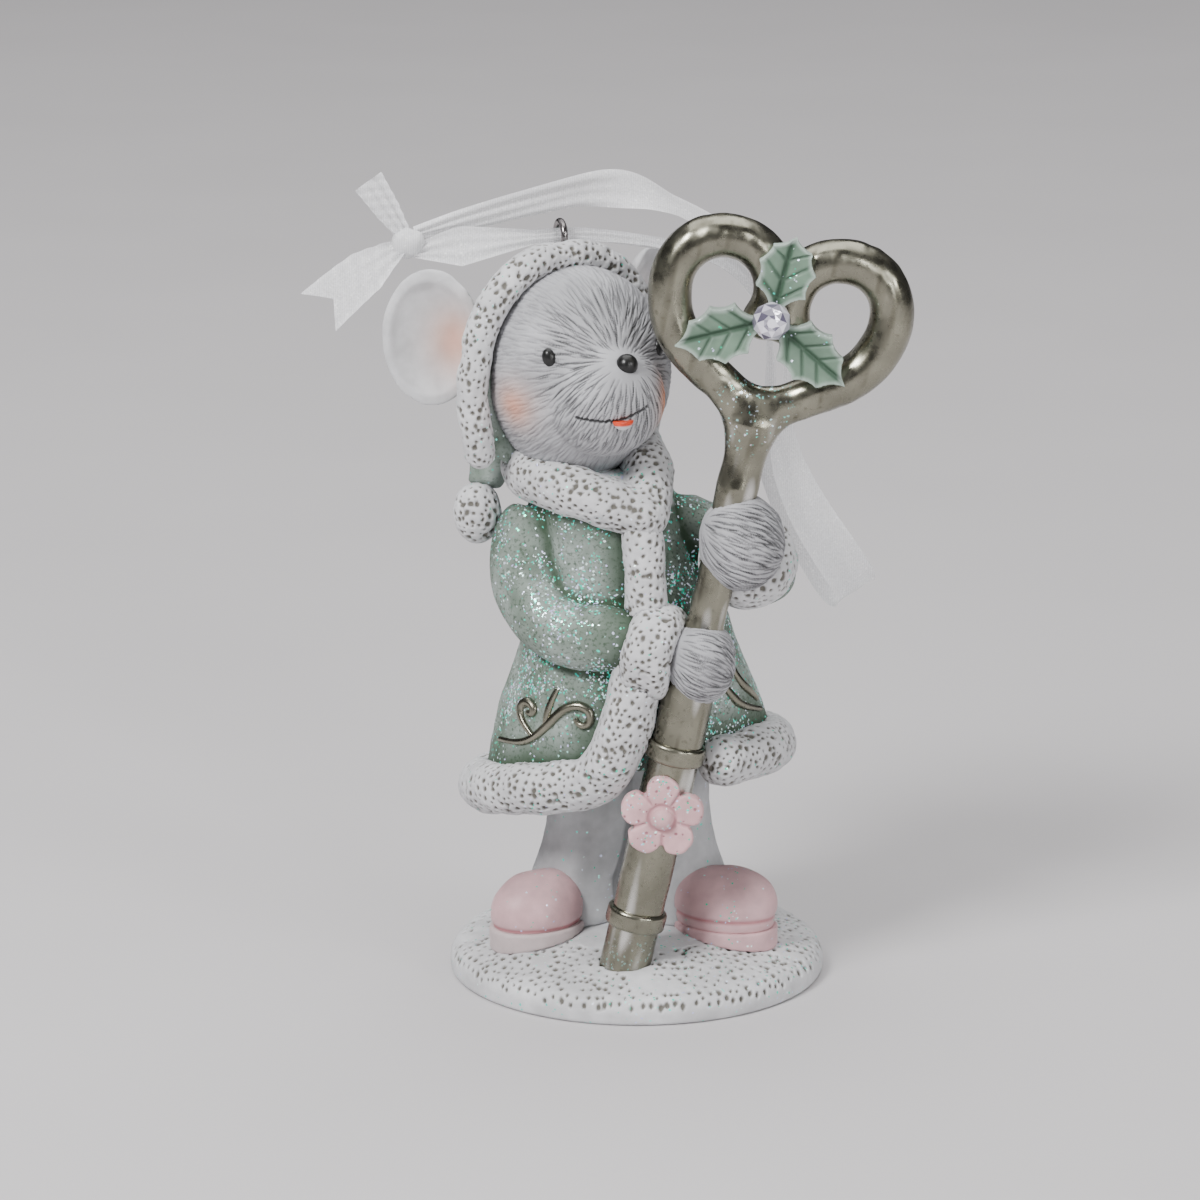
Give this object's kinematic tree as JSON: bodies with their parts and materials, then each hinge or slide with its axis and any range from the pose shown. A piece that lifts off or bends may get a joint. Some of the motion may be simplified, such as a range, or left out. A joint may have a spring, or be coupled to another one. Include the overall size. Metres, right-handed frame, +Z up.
{
  "type": "mouse figurine ornament",
  "caption": "Standing mouse ornament in a hooded fur-trimmed coat, holding a tall key with a heart-shaped bow, on a round snow base, with a screw eye and ribbon hanger.",
  "frame": {"origin": "centre of the snow base underside", "axes": "+Z up, -Y to the front that the picture shows, +X to the viewer's right (the mouse's left)"},
  "size_m": [0.073, 0.048, 0.102],
  "materials": {
    "snow_white": "matte white painted resin, pitted, a little glitter",
    "boot_pink": "satin pale pink painted resin",
    "sole_pink": "satin pale pink painted resin",
    "trouser_white": "matte off-white painted resin",
    "coat_green": "sage green painted resin with glitter",
    "fur_white": "matte white painted resin, pitted",
    "mouse_grey": "grey painted resin with dark hair grooves",
    "gloss_black": "gloss black paint",
    "tongue_red": "gloss red paint",
    "ear_white": "matte white painted resin with a peach blush",
    "key_silver": "metallic silver painted resin with antique wash",
    "leaf_green": "pale green painted resin with glitter",
    "crystal": "faceted clear stone",
    "flower_pink": "pale pink painted resin with glitter",
    "steel_wire": "bright wire",
    "organza": "sheer white woven ribbon"
  },
  "bodies": {
    "figurine": {"chest_trim": "fur_white", "coat": "coat_green", "collar": "fur_white", "flower": "flower_pink", "flower_centre": "flower_pink", "head": "mouse_grey", "hem_trim": "fur_white", "hood": "coat_green", "hood_tail": "coat_green", "hood_trim": "fur_white", "key_bow": "key_silver", "key_lower_ring": "key_silver", "key_shank": "key_silver", "key_upper_ring": "key_silver", "left_boot": "boot_pink", "left_cuff": "fur_white", "left_ear": "ear_white", "left_eye": "gloss_black", "left_leaf": "leaf_green", "left_paw": "mouse_grey", "left_sleeve": "coat_green", "left_sole": "sole_pink", "nose": "gloss_black", "pompom": "fur_white", "rhinestone": "crystal", "right_boot": "boot_pink", "right_cuff": "fur_white", "right_ear": "ear_white", "right_eye": "gloss_black", "right_leaf": "leaf_green", "right_paw": "mouse_grey", "right_sleeve": "coat_green", "right_sole": "sole_pink", "screw_eye": "steel_wire", "snow_base": "snow_white", "tongue": "tongue_red", "trousers": "trouser_white", "upper_leaf": "leaf_green"},
    "hanger": {"ribbon_knot": "organza", "ribbon_loop": "organza", "ribbon_tail_down": "organza", "ribbon_tail_up": "organza"}
  },
  "joints": [
    {"name": "hanger_swing", "type": "hinge", "parent": "figurine", "child": "hanger", "pos_m": [-0.00967, 0.00388, 0.09459], "axis": [0.9563, 0.2924, 0], "range_deg": [0, 75]}
  ]
}
